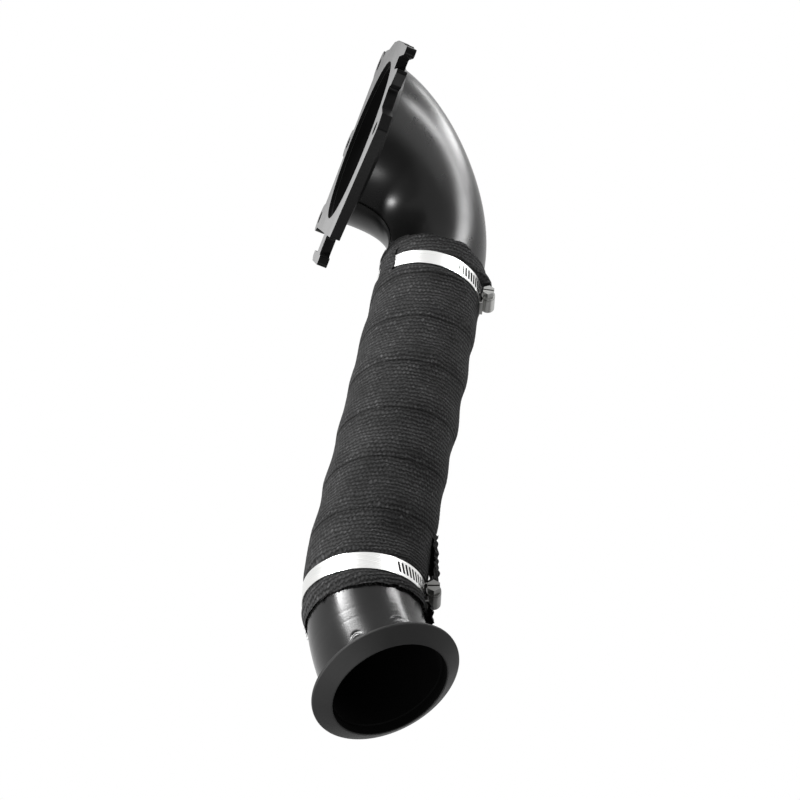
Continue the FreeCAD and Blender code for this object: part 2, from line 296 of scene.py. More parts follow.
# %% Coated metal materials
def coated(name, dark, pale, gloss_low, gloss_high, peel_scale, strength, shine=0.2):
    """Black heat coating: nearly even colour, a satin gloss that drifts, and a fine orange peel."""
    material, tree, shader, place = new_material(name)
    grain = add_group(tree, coat_grain, Peel_Scale=peel_scale, Cloud_Scale=30.0)
    tree.links.new(mix_colour(tree, grain.outputs["Cloud"], dark, pale), shader.inputs["Base Color"])
    gloss = ramp(tree, grain.outputs["Cloud"], 0.3, 0.7, gloss_low, gloss_high)
    tree.links.new(gloss, shader.inputs["Roughness"])
    shader.inputs["Specular IOR Level"].default_value = shine
    bump(tree, grain.outputs["Height"], shader, strength, 0.0002)
    return material, tree, shader, place


pipe_coat = coated("pipe_coat", grey(0.004), grey(0.008), 0.26, 0.32, 900.0, 0.12)[0]
weld_coat = coated("weld_coat", grey(0.004), grey(0.009), 0.4, 0.55, 500.0, 0.4)[0]
seat_coat = coated("seat_coat", grey(0.007), grey(0.013), 0.5, 0.62, 700.0, 0.25)[0]
tube_coat = coated("tube_coat", grey(0.004), grey(0.008), 0.20, 0.27, 900.0, 0.12, 0.26)[0]
# A duller, darker black for the faces inside the pipe: painted shade in the bore
painted_bore_shade = coated("painted_bore_shade", grey(0.001), grey(0.003), 0.85, 0.95, 300.0, 0.4, 0.05)[0]
print("coats", pipe_coat.name, tube_coat.name, weld_coat.name, seat_coat.name, painted_bore_shade.name)

# %% [markdown]
# ## The plate
# The plate is cut from thick steel. Its two flat faces are ground and carry a glossy coat, and its cut
# edges are dull. Seen along the mating face, the gloss mirrors the white room behind, so that face looks
# pale while the edges stay black. The facing direction decides where the gloss lies.

# %% Plate material
plate_coat, tree, shader, place = coated(
    "plate_coat", grey(0.003), grey(0.007), 0.26, 0.36, 600.0, 0.2, 0.04)
facing = tree.nodes.new("ShaderNodeNewGeometry")
plate_axis = (1.0, 0.0, 0.0)
along_axis = vector_math(tree, "DOT_PRODUCT", facing.outputs["Normal"], plate_axis)
flatness = math_node(tree, "ABSOLUTE", along_axis)
height = tree.nodes.new("ShaderNodeSeparateXYZ")
tree.links.new(place.outputs["Object"], height.inputs[0])
worn = ramp(tree, height.outputs["Z"], -0.10, 0.10, 1.0, 0.25)
gloss = math_node(tree, "MULTIPLY", ramp(tree, flatness, 0.75, 0.97, 0.0, 1.0), worn)
tree.links.new(gloss, shader.inputs["Coat Weight"])
shader.inputs["Coat Roughness"].default_value = 0.28
print("plate material", plate_coat.name)

# %% [markdown]
# ## The pipe's centre line
# The tube runs straight down from the elbow and bends once before the outlet. Everything round it, from
# the skin to the tape, is placed by how far along that line it lies, its direction round the line and its
# radius.

# %% Sizes and the pipe's centre line
tube_radius = 38.1
tube_wall = 1.65
run_offset = 83.0
joint_drop = 117.0
bend_start = 371.5
bend_radius = 160.0
bend_angle = math.radians(34.0)
bend_heading = math.radians(-41.3)
stub_length = 15.5
bend_side = np.array([math.cos(bend_heading), math.sin(bend_heading), 0.0])
down = np.array([0.0, 0.0, -1.0])
third = np.cross(down, bend_side)
outlet_along = bend_start + bend_radius * bend_angle + stub_length


def centre_line(along):
    """Centre, heading and first side direction of the pipe, a given way along it from the port's level."""
    turn = np.clip((along - bend_start) / bend_radius, 0.0, bend_angle)
    heading = down * math.cos(turn) + bend_side * math.sin(turn)
    side = bend_side * math.cos(turn) - down * math.sin(turn)
    centre = np.array([run_offset, 0.0, -min(along, bend_start)])
    centre = centre + down * bend_radius * math.sin(turn) + bend_side * bend_radius * (1 - math.cos(turn))
    past = max(0.0, along - bend_start - bend_radius * bend_angle)
    return centre + heading * past, heading, side


def pipe_point(along, angle, radius):
    """A point round the pipe."""
    centre, heading, side = centre_line(along)
    return centre + radius * (math.cos(angle) * side + math.sin(angle) * third)


print("pipe runs", round(outlet_along, 1), "mm to the outlet")


# %% [markdown]
# ## Turned pieces
# The tube, the ring and its weld bead are turned shapes: a closed profile of (along, radius) points
# carried round the centre line. Blender's Screw modifier could turn the straight ones but not follow the
# bend, so one function makes them all.


# %% Mesh helpers
def make_piece(name, points, faces, material, stands_for=(), sharp=35.0):
    """A mesh object in the part's frame, smooth except across sharp corners, that rides on the part."""
    mesh = bpy.data.meshes.new(name)
    mesh.from_pydata([tuple(p) for p in np.asarray(points).reshape(-1, 3) * MM], [], faces)
    mesh.validate()
    mesh.update()
    mesh.shade_smooth()
    mesh.set_sharp_from_angle(angle=math.radians(sharp))
    mesh.materials.append(material)
    piece = bpy.data.objects.new(name, mesh)
    bpy.context.scene.collection.objects.link(piece)
    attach(piece, "root")
    if stands_for:
        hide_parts(*stands_for)
    print(name, "faces", len(faces))
    return piece


def grid_faces(rows, columns, rows_close, columns_close):
    """Quads of a grid of points, joined end to end where it closes."""
    faces = []
    for i in range(rows if rows_close else rows - 1):
        for j in range(columns if columns_close else columns - 1):
            k = (i + 1) % rows
            m = (j + 1) % columns
            faces.append((i * columns + j, i * columns + m, k * columns + m, k * columns + j))
    return faces


def rounded(profile, radius, steps=4):
    """A closed profile with every corner rounded."""
    result = []
    count = len(profile)
    for i in range(count):
        before, corner, after = (np.array(profile[(i + k) % count], float) for k in (-1, 0, 1))
        way_in = before - corner
        way_out = after - corner
        cut_in = min(radius, np.linalg.norm(way_in) * 0.45)
        cut_out = min(radius, np.linalg.norm(way_out) * 0.45)
        start = corner + way_in / np.linalg.norm(way_in) * cut_in
        end = corner + way_out / np.linalg.norm(way_out) * cut_out
        for step in range(steps + 1):
            t = step / steps
            result.append((1 - t) ** 2 * start + 2 * t * (1 - t) * corner + t ** 2 * end)
    return result


def turned_piece(name, profile, place, material, stands_for, segments=128, ripple=None):
    """Carry a closed profile round the pipe. A ripple gives an added radius at an angle."""
    points = []
    for i in range(segments):
        angle = 2 * math.pi * i / segments
        for k, (along, radius) in enumerate(profile):
            extra = ripple(angle, k) if ripple else 0.0
            points.append(place(along, angle, radius + extra))
    faces = grid_faces(segments, len(profile), True, True)
    return make_piece(name, points, faces, material, stands_for)


# %% [markdown]
# ## The down tube
# The stub below the wrap shows faint ring lines and a few shallow creases from bending and fitting. They
# are pressed into the mesh, so the stations lie closer together there than under the wrap.

# %% Tube stations
seat_overlap = 7.0
tube_end = outlet_along - seat_overlap
marks_from = 425.0
coarse_stations = [joint_drop] + list(np.linspace(bend_start, marks_from - 1.0, 14))
tube_stations = coarse_stations + list(np.linspace(marks_from, tube_end, 64))
inner_stations = [joint_drop] + list(np.linspace(bend_start, tube_end, 24))
tube_profile = [(along, tube_radius) for along in tube_stations]
tube_profile += [(along, tube_radius - tube_wall) for along in reversed(inner_stations)]
# Ring lines: along, half width
ring_lines = ((440.0, 0.8), (448.0, 0.7))
ring_depth = 0.03
# Creases near the outlet: along, heading in degrees, depth, length, half width in degrees
stub_marks = [(455.0, -87.0, 0.55, 0.9, 7.0), (457.0, -87.0, -0.3, 0.9, 8.0),
              (459.5, -132.0, 0.5, 0.9, 4.5), (461.5, -132.0, -0.3, 0.9, 5.0)]
crease_bow = 1.2
print("tube stations", len(tube_stations), "outside and", len(inner_stations), "inside")


# %% Down tube
def heading_gap(angle, heading):
    """Degrees between a direction round the pipe and a heading on the ground."""
    here = math.degrees(bend_heading - angle)
    return (here - heading + 180.0) % 360.0 - 180.0


def stub_marking(angle, index):
    """Faint ring lines and shallow creases pressed into the stub."""
    if index >= len(tube_stations):
        return 0.0
    along = tube_stations[index]
    depth = sum(ring_depth * math.exp(-((along - place) / width) ** 2) for place, width in ring_lines)
    for place, heading, deep, length, spread in stub_marks:
        across = heading_gap(angle, heading) / spread
        bow = place + crease_bow * across * across
        depth += deep * math.exp(-((along - bow) / length) ** 2 - across * across)
    return -depth


tube = turned_piece("down_tube_skin", tube_profile, pipe_point, tube_coat, ["down_tube"], 320,
                    stub_marking)


def paint_bore_shade(piece, is_inside):
    """Give the faces inside the pipe a duller, darker black, as painted shade in the bore."""
    piece.data.materials.append(painted_bore_shade)
    for face in piece.data.polygons:
        if is_inside(face):
            face.material_index = 1


tube_count = len(tube_profile)
paint_bore_shade(tube, lambda face: all(v % tube_count >= len(tube_stations) - 1 for v in face.vertices))

# %% [markdown]
# ## The ball seat
# The outlet ends in a ring with a convex cone face, which seats in the cup of the next pipe. Its rim has
# a narrow edge, and a fillet bead behind its collar joins it to the tube.

# %% Ball seat
seat_rim = 49.5
seat_bore = 38.35
seat_collar = seat_bore + 2.6
seat_profile = [(0.0, seat_bore), (0.0, seat_bore + 0.8), (-6.6, seat_rim), (-8.6, seat_rim),
                (-9.1, seat_collar + 6.0), (-10.6, seat_collar + 3.0), (-12.6, seat_collar + 1.0),
                (-15.0, seat_collar), (-15.0, seat_bore)]


def outlet_place(along, angle, radius):
    """A point measured back from the outlet's face, square to the outlet."""
    centre, heading, side = centre_line(outlet_along)
    return centre + heading * along + radius * (math.cos(angle) * side + math.sin(angle) * third)


seat_edge = 0.7
seat_outline = rounded(seat_profile, seat_edge)
seat_count = len(seat_outline)
seat = turned_piece("ball_seat_ring", seat_outline, outlet_place, seat_coat, ["ball_seat"])


def on_seat_bore(face):
    """Whether a face lies on the bore, which joins the outline's last corner to its first."""
    return all(v % seat_count >= seat_count - 3 or v % seat_count < 2 for v in face.vertices)


paint_bore_shade(seat, on_seat_bore)

# %% [markdown]
# ## The bead behind the seat
# A weld bead is a row of overlapping scallops. They are small enough for bump, but the bead's edge shows
# against the tube, so the ripple is in the mesh.

# %% Ball seat bead
scallop_height = 0.18
scallop_rate = 42
bead_profile = [(-15.0, 38.2), (-15.0, 40.9), (-15.5, 40.7), (-16.2, 40.0), (-17.0, 39.0), (-17.4, 38.5),
                (-17.4, 38.2)]


def seat_ripple(angle, index):
    """The overlapping scallops of a hand-fed weld bead, on the points of its outer side."""
    return scallop_height * abs(math.sin(angle * scallop_rate)) if index in (2, 3, 4, 5) else 0.0


turned_piece("ball_seat_bead", bead_profile, outlet_place, weld_coat, ["ball_seat_weld"], 504,
             seat_ripple)

# %% [markdown]
# ## The bell elbow
# The elbow is pressed in two halves that meet along the bend. Each half is lofted between the outer bend
# and the throat, two smooth curves with four steering corners each, with the seam's edges slightly rolled
# in.

# %% Elbow sections
plate_thickness = 8.0
mouth_radius = 66.3
elbow_drop = 97.0
elbow_wall = 2.0
mouth_insert = 5.0
back_reach = 52.0
back_slope = 10.5
back_rise = 83.0
throat_reach = 24.0
throat_rise = 20.0
section_count = 73
back_x = run_offset + tube_radius
throat_x = run_offset - tube_radius
back_corners = [(plate_thickness, mouth_radius), (plate_thickness + back_reach, mouth_radius - back_slope),
                (back_x, back_rise - elbow_drop), (back_x, -elbow_drop)]
throat_corners = [(plate_thickness, -mouth_radius), (plate_thickness + throat_reach, -mouth_radius),
                  (throat_x, throat_rise - elbow_drop), (throat_x, -elbow_drop)]


def curve_point(corners, t):
    """A point on the smooth curve that four corners steer."""
    weights = ((1 - t) ** 3, 3 * (1 - t) ** 2 * t, 3 * (1 - t) * t ** 2, t ** 3)
    x = sum(w * c[0] for w, c in zip(weights, corners))
    z = sum(w * c[1] for w, c in zip(weights, corners))
    return np.array([x, 0.0, z])


def elbow_ring(t, shift):
    """Centre, outward direction and radius of the elbow's round section, and its shift past an end."""
    back = curve_point(back_corners, t)
    throat = curve_point(throat_corners, t)
    centre = (back + throat) / 2
    out = (back - throat) / np.linalg.norm(back - throat)
    return centre + shift, out, np.linalg.norm(back - centre)


elbow_rings = [elbow_ring(0.0, np.array([-mouth_insert, 0, 0]))]
elbow_rings += [elbow_ring(t, np.zeros(3)) for t in np.linspace(0, 1, section_count)]
elbow_rings.append(elbow_ring(1.0, np.array([0, 0, elbow_drop - joint_drop])))
half_steps = 64
edge_roll = (0.5, 0.15)
print("elbow sections", len(elbow_rings))


# %% Elbow halves
def elbow_half(name, side, node):
    """One pressed half as a closed shell: outer skin, inner skin and the edges between them."""
    outer, inner = [], []
    for centre, out, radius in elbow_rings:
        for j in range(half_steps + 1):
            angle = math.pi * j / half_steps
            way = out * math.cos(angle) + np.array([0, side, 0]) * math.sin(angle)
            edge = min(j, half_steps - j)
            roll = edge_roll[edge] if edge < len(edge_roll) else 0.0
            outer.append(centre + way * (radius - roll))
            inner.append(centre + way * (radius - elbow_wall))
    rows, columns = len(elbow_rings), half_steps + 1
    count = rows * columns
    skin = grid_faces(rows, columns, False, False)
    faces = skin + [tuple(count + v for v in reversed(face)) for face in skin]
    for j in range(half_steps):
        faces.append((j, j + 1, count + j + 1, count + j))
        last = (rows - 1) * columns + j
        faces.append((last, count + last, count + last + 1, last + 1))
    for i in range(rows - 1):
        for j in (0, half_steps):
            near, far = i * columns + j, (i + 1) * columns + j
            faces.append((near, count + near, count + far, far))
    half = make_piece(name, outer + inner, faces, pipe_coat, [node])
    paint_bore_shade(half, lambda face: all(v >= count for v in face.vertices))
    return half


elbow_half("elbow_near_skin", -1, "elbow_half_near")
elbow_half("elbow_far_skin", 1, "elbow_half_far")

# %% [markdown]
# ## The weave
# The tape is woven from dark glass-fibre yarn: ribs along it, crossed by other yarns, with a hole at each
# crossing. No image is used: the weave is a sum of two waves, read at each point's place on the flat
# tape. Every stitch has its own chance to be a bright yarn, and a painted shadow darkens the cloth just
# below each lapped edge.

# %% Weave group
rib_pitch = 3.3
yarn_pitch = 2.9
weave, weave_in, weave_out = new_group(
    "woven_ribs", [("Rib Pitch", rib_pitch), ("Yarn Pitch", yarn_pitch)],
    [("Height", "NodeSocketFloat"), ("Fleck", "NodeSocketFloat"), ("Shade", "NodeSocketFloat")])
weave_place = weave.nodes.new("ShaderNodeAttribute")
weave_place.attribute_name = "tape_place"
weave_axes = weave.nodes.new("ShaderNodeSeparateXYZ")
weave.links.new(weave_place.outputs["Vector"], weave_axes.inputs[0])
sway = noise_node(weave, weave_place.outputs["Vector"], 0.09, 5.0, 0.6)
jitter = noise_node(weave, weave_place.outputs["Vector"], 0.35, 2.0)
swayed = math_node(weave, "ADD", weave_axes.outputs["Y"], math_node(weave, "MULTIPLY", sway, 7.0))
swayed = math_node(weave, "ADD", swayed, math_node(weave, "MULTIPLY", jitter, 3.0))
rib = math_node(weave, "DIVIDE", swayed, weave_in.outputs["Rib Pitch"])
rib_wave = math_node(weave, "COSINE", math_node(weave, "MULTIPLY", rib, 2 * math.pi))
rib_number = math_node(weave, "FLOOR", math_node(weave, "ADD", rib, 0.5))
yarn = math_node(weave, "DIVIDE", weave_axes.outputs["X"], weave_in.outputs["Yarn Pitch"])
yarn_turn = math_node(weave, "MULTIPLY", yarn, 2 * math.pi)
# Neighbouring ribs are half a stitch apart
yarn_turn = math_node(weave, "ADD", yarn_turn, math_node(weave, "MULTIPLY", rib_number, math.pi))
yarn_wave = math_node(weave, "COSINE", yarn_turn)
rib_part = math_node(weave, "MULTIPLY", rib_wave, 0.6)
stitch = math_node(weave, "ADD", rib_part, math_node(weave, "MULTIPLY", yarn_wave, 0.4))
weave.links.new(stitch, weave_out.inputs["Height"])
print("stitch", rib_pitch, "by", yarn_pitch, "mm")

# %% Bright yarns and painted lap shadow
yarn_number = math_node(weave, "ADD", yarn, math_node(weave, "MULTIPLY", rib_number, 0.5))
yarn_number = math_node(weave, "FLOOR", math_node(weave, "ADD", yarn_number, 0.5))
stitch_cell = weave.nodes.new("ShaderNodeCombineXYZ")
weave.links.new(rib_number, stitch_cell.inputs[0])
weave.links.new(yarn_number, stitch_cell.inputs[1])
chance = weave.nodes.new("ShaderNodeTexWhiteNoise")
weave.links.new(stitch_cell.outputs[0], chance.inputs["Vector"])
bright_yarn = ramp(weave, chance.outputs["Value"], 0.45, 1.0, 0.0, 1.0)
worn_edge = ramp(weave, weave_axes.outputs["Y"], 45.5, 49.0, 0.0, 0.8)
worn_edge = math_node(weave, "MULTIPLY", worn_edge, chance.outputs["Value"])
bright_yarn = math_node(weave, "ADD", bright_yarn, worn_edge)
fleck = math_node(weave, "MULTIPLY", math_node(weave, "MAXIMUM", stitch, 0.0), bright_yarn)
weave.links.new(fleck, weave_out.inputs["Fleck"])
# Painted shadow: the cloth just below each lapped edge is darkened, where the turn above shades it
painted_lap_shadow = ramp(weave, weave_axes.outputs["Y"], 7.0, 10.5, 0.3, 1.0)
weave.links.new(painted_lap_shadow, weave_out.inputs["Shade"])
print("group", weave.name)


# %% Tape material
def tape_material(name, dark, pale):
    """Charcoal glass-fibre cloth: dark in the holes, paler on the ribs, with a few bright yarns."""
    material, tree, shader, place = new_material(name)
    ribs = add_group(tree, weave)
    fluff = noise_node(tree, place.outputs["Object"], 800.0, 4.0, 0.65)
    patches = noise_node(tree, place.outputs["Object"], 45.0, 4.0, 0.6)
    tone = ramp(tree, ribs.outputs["Height"], -0.75, 0.25, 0.0, 0.34)
    tone = math_node(tree, "ADD", tone, ramp(tree, ribs.outputs["Fleck"], 0.1, 0.9, 0.0, 0.45))
    tone = math_node(tree, "MULTIPLY", tone, ramp(tree, patches, 0.3, 0.7, 0.45, 1.15))
    tone = math_node(tree, "MULTIPLY", tone, ramp(tree, fluff, 0.3, 0.7, 0.4, 1.6))
    # The weave's Shade output is the painted shadow under each lapped edge
    tone = math_node(tree, "MULTIPLY", tone, ribs.outputs["Shade"])
    tree.links.new(mix_colour(tree, tone, dark, pale), shader.inputs["Base Color"])
    shader.inputs["Roughness"].default_value = 0.9
    shader.inputs["Specular IOR Level"].default_value = 0.15
    height = math_node(tree, "ADD", ribs.outputs["Height"], math_node(tree, "MULTIPLY", fluff, 0.9))
    bump(tree, height, shader, 0.5, 0.0006)
    return material


tape_cloth = tape_material("tape_cloth", grey(0.004), (0.069, 0.069, 0.07, 1))
fray_cloth = tape_material("fray_cloth", grey(0.003), grey(0.03))
print("tape materials", tape_cloth.name, fray_cloth.name)

# %% [markdown]
# ## The wound tape
# One woven tape, fifty millimetres wide, is wound down the pipe with a lap of seven millimetres. A plain
# sleeve would lack its edges, so it is built as the real one is: a single strip along a helix, each
# turn's lower edge lying on the turn below. It swells a little from the hand that wound it, and the
# clamps draw it in.

# %% Tape sizes
tape_width = 50.0
tape_pitch = 43.0
first_edge = 12.0
tape_heading = 118.0
tape_top = 104.0
tape_bottom = bend_start + bend_radius * math.radians(18.5)
wrap_radius = 40.3
tape_thickness = 1.2
lap_rise = (20.0, 42.0)
edge_ease = (43.0, 50.0)
over_lap = 0.35
over_lap_end = 18.0
rib_height = 0.06
drawn_in = 1.3
drawn_length = 7.0
turn_steps = 96
tape_columns = 101
upper_clamp = 128.0
lower_clamp = bend_start + bend_radius * math.radians(11.4)
band_half = 6.6
under_band = 39.75
squeeze_end = 11.0
fold_squeeze_end = 8.0
fold_bulge = 6.0
fold_bulge_heading = -31.0
fold_bulge_half = 17.0
lump_count = 30
lump_height = 0.085
jag_waves = 14
jag_depth = 0.16
rng = np.random.default_rng(7)
lump_angle = rng.uniform(0, 2 * math.pi, lump_count)
lump_rate = rng.integers(1, 10, lump_count)
lump_drift = rng.uniform(-0.16, 0.16, lump_count)
print("tape from", tape_top, "to", round(tape_bottom, 1), "mm along the pipe")


# %% How far the tape stands from the pipe
def lumps(along, angle):
    """A gentle unevenness from the tape's folds and the hand that wound it."""
    waves = np.sin(lump_rate * angle + lump_drift * along + lump_angle)
    return float(waves.sum()) * lump_height


def jag(angle, seed):
    """An uneven cut edge, in millimetres."""
    waves = np.sin((lump_rate * 5 + seed) * angle + lump_angle * (seed + 1))
    return float(waves[:jag_waves].sum()) * jag_depth


def smooth(value, low, high):
    """A smooth step from nought to one."""
    t = min(1.0, max(0.0, (value - low) / (high - low)))
    return t * t * (3 - 2 * t)


def tape_radius(along, across, angle):
    """How far the tape stands from the pipe: up over the lap, down under a clamp band, out in a fold."""
    radius = wrap_radius + tape_thickness * smooth(across, *lap_rise)
    radius -= tape_thickness * 0.5 * smooth(across, *edge_ease)
    radius += over_lap * (1.0 - smooth(across, tape_width - tape_pitch, over_lap_end))
    radius += lumps(along, angle) + rib_height * math.cos(2 * math.pi * across / rib_pitch)
    radius -= drawn_in * smooth(along, tape_bottom - drawn_length, tape_bottom)
    fold = math.exp(-(heading_gap(angle, fold_bulge_heading) / fold_bulge_half) ** 2)
    if along < upper_clamp:
        radius += fold_bulge * fold * smooth(along, tape_top + 1.0, upper_clamp - 9.0)
    for clamp in (upper_clamp, lower_clamp):
        squeeze = 1.0 - smooth(abs(along - clamp), band_half, squeeze_end)
        if clamp == upper_clamp and along < clamp:
            beside_fold = 1.0 - smooth(abs(along - clamp), band_half, fold_squeeze_end)
            squeeze = max(beside_fold, squeeze * (1.0 - fold))
        radius = radius * (1 - squeeze) + min(radius, under_band) * squeeze
    return radius


# %% Tape strip
first_turn = -360.0 * first_edge / tape_pitch
last_turn = 360.0 * (tape_bottom + tape_width - first_edge - tape_top) / tape_pitch
tape_rows = int((last_turn - first_turn) / 360.0 * turn_steps)
tape_points, tape_places, tape_kept = [], [], []
for i in range(tape_rows + 1):
    wound = first_turn + 360.0 * i / turn_steps
    angle = bend_heading - math.radians(tape_heading - wound)
    lower_edge = tape_top + first_edge + tape_pitch * wound / 360.0
    top_limit = tape_top + jag(angle, 1)
    low_limit = tape_bottom + jag(angle, 2)
    for j in range(tape_columns):
        across = tape_width * j / (tape_columns - 1)
        along = lower_edge - tape_width + across + 0.4 * jag(angle, 3) * smooth(across, 40.0, 50.0)
        tape_kept.append(top_limit - 0.5 <= along <= low_limit + 0.5)
        along = min(low_limit, max(top_limit, along))
        tape_points.append(pipe_point(along, angle, tape_radius(along, across, angle)))
        tape_places.append((i * 2 * math.pi * wrap_radius / turn_steps, across, 0.0))
tape_faces = [face for face in grid_faces(tape_rows + 1, tape_columns, False, False)
              if all(tape_kept[v] for v in face)]
used = sorted({v for face in tape_faces for v in face})
renumber = {old: new for new, old in enumerate(used)}
tape_faces = [tuple(renumber[v] for v in face) for face in tape_faces]
cloth_crease = 80.0
tape = make_piece("wound_tape", [tape_points[v] for v in used], tape_faces, tape_cloth,
                  ["heat_wrap"], cloth_crease)


def place_on_tape(piece, places):
    """Store where each point lies on the flat tape, for the weave."""
    attribute = piece.data.attributes.new("tape_place", "FLOAT_VECTOR", "POINT")
    attribute.data.foreach_set("vector", np.array(places, np.float32).ravel())


place_on_tape(tape, [tape_places[v] for v in used])

# %% [markdown]
# ## Loose pieces of the tape
# The last of the tape is folded up along the pipe and caught under the lower clamp, ragged at both ends.
# Above the upper clamp a pinch of spare tape hangs down over one side of the band and hides it there.
# Both are small sheets laid along the pipe, so one function makes them, and each has a rule for how it
# lies.


# %% Laid sheet
def laid_sheet(name, top, bottom, rows, columns, weave_start, lie):
    """A sheet of tape along the pipe. Its rule gives the heading, the radius and a shift along the pipe."""
    points, places = [], []
    for i in range(rows + 1):
        along = top + (bottom - top) * i / rows
        for j in range(columns + 1):
            share = 2.0 * j / columns - 1.0
            heading, radius, ragged = lie(along, share, i)
            points.append(pipe_point(along + ragged, bend_heading - math.radians(heading), radius))
            places.append((heading * 0.7, along - weave_start, 0.0))
    faces = grid_faces(rows + 1, columns + 1, False, False)
    sheet = make_piece(name, points, faces, tape_cloth, (), cloth_crease)
    place_on_tape(sheet, places)
    return sheet


# %% Loose end of the tape
tail_top = 344.0
tail_bottom = 425.0
tail_heading = -13.0
tail_half = 15.0
tail_rows = 90
tail_columns = 40
tail_weave = 385.0
tail_held = 39.82
tail_lift = 6.0
tail_lifted_at = 372.0
tail_dip = (388.0, 396.0)
tail_flare = 3.0
tail_flare_span = (410.5, 416.0)


def tail_lie(along, share, row):
    """The loose end stands off the wrap in ripples, except where the lower clamp holds it."""
    heading = tail_heading + tail_half * share + 1.5 * math.sin(along * 0.35)
    heading += 0.9 * math.sin(along * 1.3 + share)
    rise = tail_lift * smooth(along, tail_top, tail_lifted_at) * (1.0 - smooth(along, *tail_dip))
    rise += tail_flare * smooth(along, *tail_flare_span)
    ripple = 0.9 * math.sin(share * 6.0 + along * 0.12) + 0.5 * math.sin(along * 0.9 + share * 3.0)
    held = 1.0 - smooth(abs(along - lower_clamp), 7.0, 12.0)
    radius = wrap_radius + 1.4 + (rise * (1.0 - 0.55 * share * share) + ripple) * (1.0 - held)
    radius = radius * (1.0 - held) + tail_held * held
    ragged = 2.0 * math.sin(7.0 * share + row) if row in (0, tail_rows) else 0.0
    return heading, radius, ragged


tail = laid_sheet("tape_tail", tail_top, tail_bottom, tail_rows, tail_columns, tail_weave, tail_lie)

# %% Fold over the upper band
fold_top = 109.0
fold_bottom = 144.0
fold_heading = -162.5
fold_half = 12.5
fold_rows = 44
fold_columns = 30
fold_weave = 96.0
fold_tuck = 8.0
fold_height = 2.1


def fold_lie(along, share, row):
    """The fold comes out of the wrap above the band and tucks in again below it."""
    heading = fold_heading + fold_half * share + 1.2 * math.sin(along * 0.3) + 0.5 * math.sin(along * 1.7)
    lifted = smooth(along, fold_top, fold_top + fold_tuck)
    lifted *= 1.0 - smooth(along, fold_bottom - fold_tuck, fold_bottom)
    lifted *= 1.0 - 0.35 * share ** 4
    ripple = 0.25 * math.sin(share * 5.0 + along * 0.2)
    return heading, wrap_radius - 0.4 + (fold_height + ripple) * lifted, 0.0


fold_piece = laid_sheet("tape_fold", fold_top, fold_bottom, fold_rows, fold_columns, fold_weave, fold_lie)

# %% [markdown]
# ## Frayed fibres
# Cut glass-fibre yarns stick out along the bottom edge and round the loose end. They are a mesh like the
# rest: each yarn is a thin bent prism with its root at the cloth.

# %% Frayed fibres
edge_fibres = 320
edge_fibre_radius = 0.22
tail_fibres = 160
tail_fibre_radius = 0.2
fibre_points, fibre_faces = [], []


def add_fibre(root, way, sideways, length, thickness):
    """A three-sided fibre that bends as it goes."""
    start = len(fibre_points)
    third_way = np.cross(way, sideways)
    bend = rng.uniform(-0.5, 0.5, 2)
    for step in range(4):
        t = step / 3
        centre = root + way * length * t + (sideways * bend[0] + third_way * bend[1]) * length * t * t
        for k in range(3):
            turn = 2 * math.pi * k / 3
            reach = thickness * (1.0 - 0.6 * t)
            fibre_points.append(centre + (sideways * math.cos(turn) + third_way * math.sin(turn)) * reach)
    for step in range(3):
        for k in range(3):
            a = start + step * 3 + k
            b = start + step * 3 + (k + 1) % 3
            fibre_faces.append((a, b, b + 3, a + 3))
    fibre_faces.append((start + 2, start + 1, start))
    fibre_faces.append((start + 9, start + 10, start + 11))


# %% Fibres along the bottom edge and the loose end
for i in range(edge_fibres):
    angle = rng.uniform(0, 2 * math.pi)
    along = tape_bottom + jag(angle, 2) - 0.8
    centre, heading, side = centre_line(along)
    out = math.cos(angle) * side + math.sin(angle) * third
    way = heading + out * rng.uniform(-0.5, 0.4) + np.cross(heading, out) * rng.uniform(-0.6, 0.6)
    root = pipe_point(along, angle, wrap_radius - rng.uniform(0.9, 1.6))
    add_fibre(root, way / np.linalg.norm(way), np.cross(heading, out), rng.uniform(0.8, 2.4),
              edge_fibre_radius)
for i in range(tail_fibres):
    share = rng.choice((-1.0, 1.0))
    along = rng.uniform(tail_top + 8.0, tail_bottom - 1.0)
    if abs(along - lower_clamp) < 8.0:
        continue
    angle = bend_heading - math.radians(tail_heading + tail_half * share)
    centre, heading, side = centre_line(along)
    out = math.cos(angle) * side + math.sin(angle) * third
    around = np.cross(heading, out)
    way = out * rng.uniform(0.1, 0.8) - around * share + heading * rng.uniform(-0.6, 0.8)
    root = pipe_point(along, angle, wrap_radius + rng.uniform(1.4, 3.0))
    add_fibre(root, way / np.linalg.norm(way), around, rng.uniform(1.0, 3.0), tail_fibre_radius)
fibres = make_piece("tape_fibres", fibre_points, fibre_faces, fray_cloth, (), 60.0)

# %% [markdown]
# ## The cloth's flat sizes

# %% [markdown]
# ## The clamps
# Each worm clamp is a bright stainless strip with slots, a pressed cover and a hexagon screw. The CAD
# solids have those shapes already, so they keep their meshes and get a brushed steel finish. The bands'
# slot walls are darkened as painted shade, because bright walls would hide the slots, and the lower
# clamp's cover and screw get a darker copy of the steel as painted shade.

# %% Brushed lines group
brushed, brushed_in, brushed_out = new_group(
    "brushed_lines", [("Line Scale", 400.0)], [("Line", "NodeSocketFloat")])
brushed_place = brushed.nodes.new("ShaderNodeTexCoord")
stretch = brushed.nodes.new("ShaderNodeMapping")
stretch.inputs["Scale"].default_value = (0.06, 0.06, 4.0)
brushed.links.new(brushed_place.outputs["Object"], stretch.inputs["Vector"])
line = noise_node(brushed, stretch.outputs["Vector"], brushed_in.outputs["Line Scale"], 3.0)
brushed.links.new(line, brushed_out.inputs["Line"])
print("group", brushed.name)


